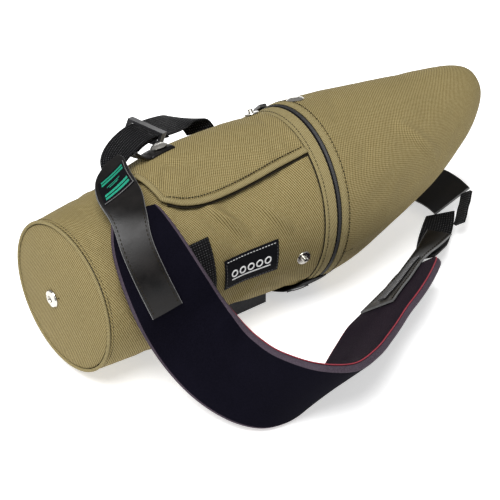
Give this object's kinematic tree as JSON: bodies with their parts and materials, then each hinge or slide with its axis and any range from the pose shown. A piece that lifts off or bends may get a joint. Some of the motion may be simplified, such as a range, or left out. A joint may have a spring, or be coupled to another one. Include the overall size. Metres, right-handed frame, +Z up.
{
  "type": "telescope carry case",
  "caption": "Padded olive twill carry case for a spotting scope, with zip-round cap and tapering hood, folding access flap, tripod-foot port and neoprene shoulder strap.",
  "frame": {"origin": "centre of the whole part's bounding box in X and Y, on the ground plane at the underside of the foot-port frame", "axes": "+X along the case from the objective cap to the tip of the hood, +Z up, the shoulder strap's loop on the -Y side"},
  "size_m": [0.4028, 0.2904, 0.1504],
  "materials": {
    "olive_twill": "coated twill weave",
    "olive_binding": "folded twill binding",
    "black_fabric": "plain weave tape",
    "grey_foam": "closed-cell foam",
    "black_lining": "smooth lining",
    "nickel": "polished nickel",
    "black_plastic": "satin moulded",
    "black_leather": "polished",
    "black_webbing": "ribbed weave",
    "black_neoprene": "jersey-faced neoprene",
    "ribbed_neoprene": "ribbed jersey",
    "woven_label": "satin weave"
  },
  "bodies": {
    "case": {"case_shell": "olive_twill", "case_padding": "grey_foam", "case_lining": "black_lining", "ring_band": "olive_twill", "hood_zip_tape_case": "black_fabric", "cap_zip_tape_case": "black_fabric", "cap_hinge_web_case": "black_fabric", "hood_hinge_web_case": "black_fabric", "top_panel": "olive_twill", "flap_closure_strip": "black_fabric", "foot_port_frame": "black_plastic", "side_label": "woven_label", "belly_webbing": "black_webbing", "zip_gusset": "black_fabric", "top_snap_cap": "nickel", "top_snap_loop": "black_leather", "top_stud": "nickel", "side_stud": "nickel", "anchor_ring_left": "black_plastic", "anchor_ring_right": "black_plastic", "anchor_tab_left": "black_leather", "anchor_tab_right": "black_leather"},
    "hood": {"hood_zip_tape_hood": "black_fabric", "hood_shell": "olive_twill", "hood_lining": "black_lining", "hood_hinge_web_hood": "black_fabric", "hood_snap_cap": "nickel"},
    "cap": {"cap_wall": "olive_twill", "cap_padding": "grey_foam", "cap_end_panel": "olive_twill", "cap_cushion": "grey_foam", "cap_piping": "olive_binding", "cap_zip_tape_cap": "black_fabric", "cap_hinge_web_cap": "black_fabric", "cap_snap": "nickel"},
    "flap": {"access_flap": "olive_twill", "flap_binding": "olive_binding"},
    "hood_slider": {"hood_zip_slider": "nickel"},
    "hood_pull": {"hood_zip_pull": "black_plastic"},
    "cap_slider": {"cap_zip_slider": "nickel"},
    "cap_pull": {"cap_zip_pull": "black_plastic"},
    "strap": {"strap_pad": "black_neoprene", "strap_pad_lining": "ribbed_neoprene", "strap_leather_left": "black_leather", "strap_leather_right": "black_leather", "strap_label": "woven_label", "strap_webbing_left": "black_webbing", "strap_tail_left": "black_webbing", "strap_webbing_right": "black_webbing", "strap_tab_right": "black_leather", "strap_tail_right": "black_webbing", "strap_inlay_right": "black_webbing"},
    "strap_glide": {"strap_glide_left": "black_plastic"}
  },
  "joints": [
    {"name": "hood_swing", "type": "hinge", "parent": "case", "child": "hood", "pos_m": [0.02689, 0.11211, 0.09834], "axis": [0.0794, -0.383, 0.9203], "range_deg": [0, 90]},
    {"name": "cap_swing", "type": "hinge", "parent": "case", "child": "cap", "pos_m": [-0.13733, 0.11239, 0.06763], "axis": [0, 0, -1], "range_deg": [0, 110]},
    {"name": "flap_fold", "type": "hinge", "parent": "case", "child": "flap", "pos_m": [-0.06634, 0.06794, 0.13825], "axis": [-0.9996, 0, -0.0284], "range_deg": [0, 85]},
    {"name": "hood_slider_run", "type": "hinge", "parent": "case", "child": "hood_slider", "pos_m": [0.01807, 0.04704, 0.07203], "axis": [0.9888, -0.0865, -0.1214], "range_deg": [0, 130]},
    {"name": "hood_pull_turn", "type": "hinge", "parent": "hood_slider", "child": "hood_pull", "pos_m": [0.02831, 0.10406, 0.11479], "axis": [0.9888, -0.0865, -0.1214], "range_deg": [0, 100]},
    {"name": "cap_slider_run", "type": "hinge", "parent": "case", "child": "cap_slider", "pos_m": [-0.13733, 0.04704, 0.06763], "axis": [-1, 0, 0], "range_deg": [0, 105]},
    {"name": "cap_pull_turn", "type": "hinge", "parent": "cap_slider", "child": "cap_pull", "pos_m": [-0.13733, 0.09351, 0.02002], "axis": [1, 0, 0], "range_deg": [-25, 100]},
    {"name": "strap_swing", "type": "hinge", "parent": "case", "child": "strap", "pos_m": [0.00337, 0.12104, 0.03], "axis": [-0.1413, 0.0353, 0.9893], "range_deg": [0, 2]},
    {"name": "strap_glide_slide", "type": "slide", "parent": "strap", "child": "strap_glide", "axis": [0.7982, 0.4778, -0.3669], "range_m": [-0.005, 0.004]}
  ]
}
